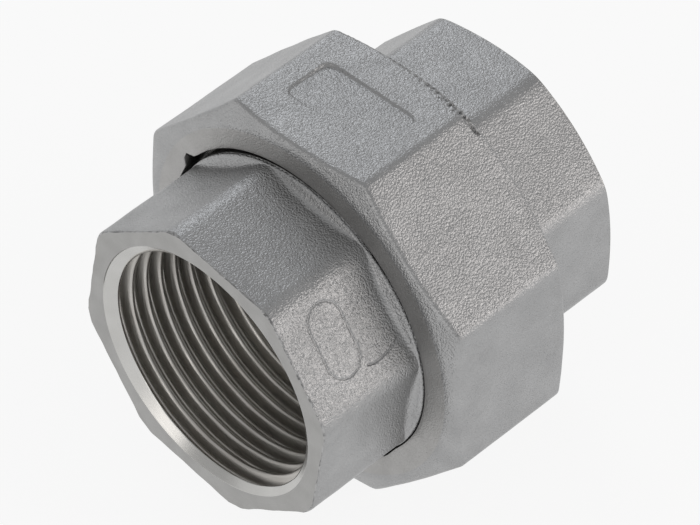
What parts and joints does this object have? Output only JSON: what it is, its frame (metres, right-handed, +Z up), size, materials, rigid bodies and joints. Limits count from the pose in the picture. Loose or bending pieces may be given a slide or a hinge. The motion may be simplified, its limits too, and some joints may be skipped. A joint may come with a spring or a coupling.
{
  "type": "double connector pipe fitting",
  "caption": "Straight pipe union in cast stainless steel: octagonal union nut, octagonal ends with female parallel pipe threads, flat gasket inside.",
  "frame": {"origin": "on the bore's axis, midway between the two mouths", "axes": "+X along the bore, out of the threaded half's mouth; +Z up, square to one of the nut's flats, with the nut resting on the opposite flat"},
  "size_m": [0.048, 0.0494, 0.0494],
  "materials": {
    "cast_stainless": "cast and blasted, with turned ends",
    "gasket": "matt"
  },
  "bodies": {
    "half": {"threaded_half": "cast_stainless"},
    "seal": {"gasket": "gasket"},
    "nut": {"union_nut": "cast_stainless"},
    "tail": {"tail_piece": "cast_stainless"}
  },
  "joints": [
    {"name": "union_travel", "type": "slide", "parent": "half", "child": "seal", "axis": [-1, 0, 0], "range_m": [0, 0.008]},
    {"name": "nut_turn", "type": "hinge", "parent": "seal", "child": "nut", "pos_m": [0.0005, 0, 0], "axis": [-1, 0, 0], "range_deg": [0, 1440]},
    {"name": "tail_swivel", "type": "hinge", "parent": "seal", "child": "tail", "pos_m": [-0.0125, 0, 0], "axis": [1, 0, 0], "continuous": true}
  ],
  "couplings": [
    {"joint": "union_travel", "follows": "nut_turn", "m_per_rad": 0.00031831}
  ]
}
